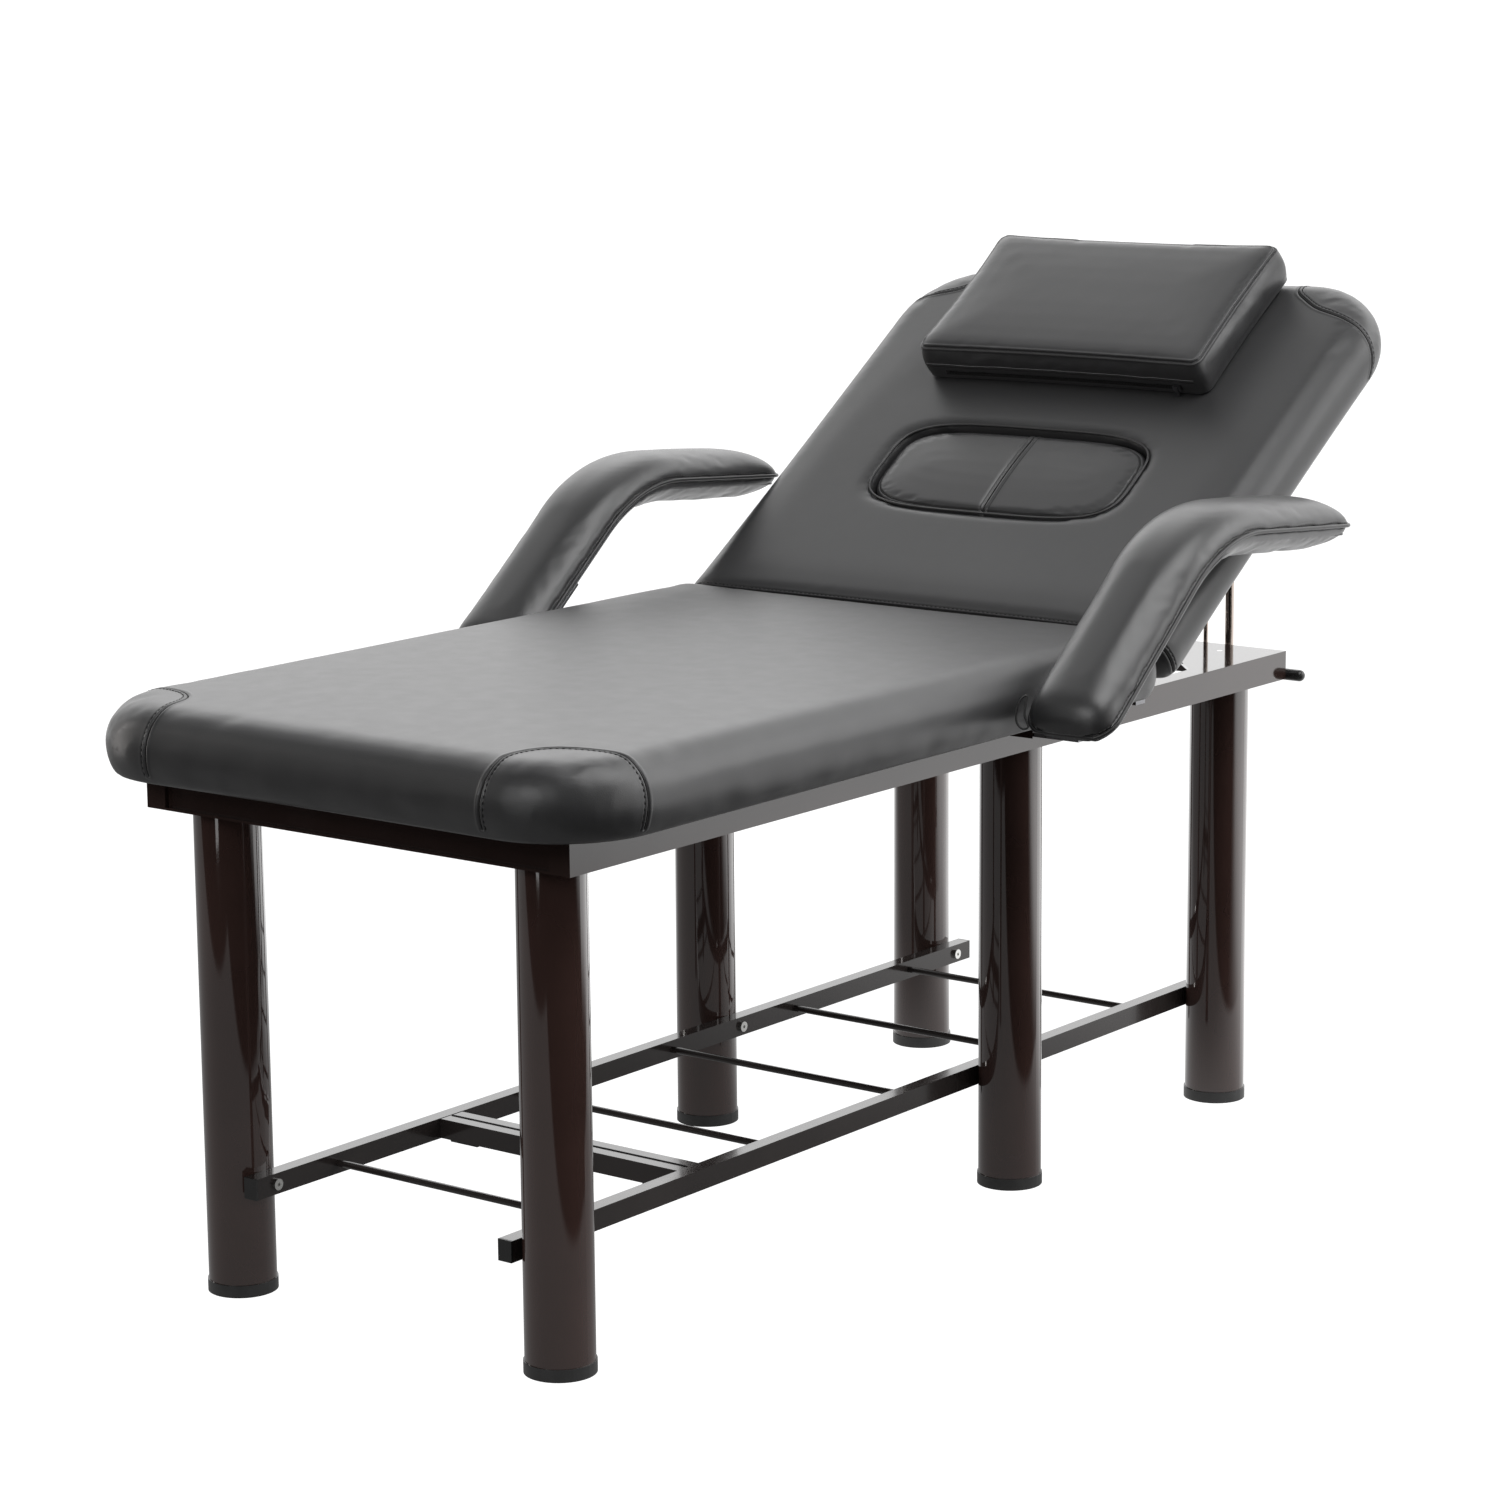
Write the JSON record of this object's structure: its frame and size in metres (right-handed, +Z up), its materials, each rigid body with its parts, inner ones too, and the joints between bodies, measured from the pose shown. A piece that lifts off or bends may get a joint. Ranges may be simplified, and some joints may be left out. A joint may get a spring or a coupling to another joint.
{
  "type": "massage table",
  "caption": "Padded treatment table on round legs, with a reclining back, face hole plug, box pillow, curved armrests, a telescopic stay and a lower shelf of rods.",
  "frame": {"origin": "on the floor, under the middle of the table's box with the back raised", "axes": "+X across the table to the side with the release lever, +Y from the foot end to the head end, +Z up"},
  "size_m": [1.06, 1.805, 1.1716],
  "materials": {
    "leather": "semi-gloss",
    "board": "matte",
    "black_plastic": "satin",
    "bright_steel": "polished",
    "grey_steel": "satin",
    "black_steel": "gloss"
  },
  "bodies": {
    "frame": {"leg_foot_left": "black_steel", "leg_foot_right": "black_steel", "leg_middle_left": "black_steel", "leg_middle_right": "black_steel", "leg_head_left": "black_steel", "leg_head_right": "black_steel", "foot_caps": "black_plastic", "side_rail_left": "black_steel", "side_rail_right": "black_steel", "foot_rail": "black_steel", "middle_rail": "black_steel", "head_rail": "black_steel", "corner_plates": "black_steel", "middle_plates": "black_steel", "plate_screws": "bright_steel", "shelf_rail_left": "black_steel", "shelf_rail_right": "black_steel", "shelf_end_plugs": "black_plastic", "shelf_rods": "black_steel", "shelf_crossbar": "black_steel", "shelf_spacers": "black_plastic", "shelf_bolts": "bright_steel", "shelf_nuts": "bright_steel", "seat_board": "board", "seat_cushion": "leather", "hinge_brackets": "grey_steel", "hinge_pins": "bright_steel", "armrest_sockets": "black_steel", "stay_foot_bracket": "black_steel", "stay_foot_pin": "bright_steel", "lever_lug": "black_steel", "lever_pin": "bright_steel"},
    "back": {"back_board": "board", "back_cushion": "leather", "hinge_arms": "grey_steel", "stay_top_bracket": "grey_steel"},
    "face_plug": {"face_plug_base": "board", "face_plug_pad": "leather"},
    "pillow": {"pillow": "leather", "pillow_zipper": "black_plastic"},
    "zip_pull": {"zip_pull": "grey_steel"},
    "lever": {"lever_bar": "black_steel", "lever_grip": "black_plastic"},
    "stay_tube": {"stay_tube": "black_steel"},
    "stay_rod": {"stay_rod": "bright_steel", "stay_guide": "bright_steel"},
    "armrest_left": {"armrest_pad_left": "leather", "armrest_board_left": "board", "armrest_under_pad_left": "leather", "armrest_bracket_left": "grey_steel"},
    "armrest_right": {"armrest_pad_right": "leather", "armrest_board_right": "board", "armrest_under_pad_right": "leather", "armrest_bracket_right": "grey_steel"}
  },
  "joints": [
    {"name": "back_recline", "type": "hinge", "parent": "frame", "child": "back", "pos_m": [0, 0.29149, 0.643], "axis": [1, 0, 0], "range_deg": [-34.3, 0]},
    {"name": "face_plug_lift", "type": "slide", "parent": "back", "child": "face_plug", "axis": [0, -0.5635, 0.8261], "range_m": [0, 0.1]},
    {"name": "pillow_lift", "type": "slide", "parent": "back", "child": "pillow", "axis": [0, -0.5635, 0.8261], "range_m": [0, 0.15]},
    {"name": "zip_slide", "type": "slide", "parent": "pillow", "child": "zip_pull", "axis": [-1, 0, 0], "range_m": [0, 0.378]},
    {"name": "lever_press", "type": "hinge", "parent": "frame", "child": "lever", "pos_m": [0.256, 0.70079, 0.5987], "axis": [0, 1, 0], "range_deg": [0, 12], "stiffness_Nm_per_rad": 2, "springref_deg": -5.73},
    {"name": "armrest_left_pull", "type": "slide", "parent": "frame", "child": "armrest_left", "axis": [-1, 0, 0], "range_m": [0, 0.12]},
    {"name": "armrest_right_pull", "type": "slide", "parent": "frame", "child": "armrest_right", "axis": [1, 0, 0], "range_m": [0, 0.12]},
    {"name": "stay_tube_tilt", "type": "hinge", "parent": "frame", "child": "stay_tube", "pos_m": [0.229, 0.70349, 0.25], "axis": [1, 0, 0], "range_deg": [-10.6, 0.1]},
    {"name": "stay_rod_slide", "type": "slide", "parent": "stay_tube", "child": "stay_rod", "axis": [0, 0, 1], "range_m": [-0.27, 0.001]}
  ],
  "couplings": [
    {"joint": "stay_tube_tilt", "follows": "back_recline", "ratio": 0.30576},
    {"joint": "stay_rod_slide", "follows": "back_recline", "m_per_rad": 0.44922}
  ]
}
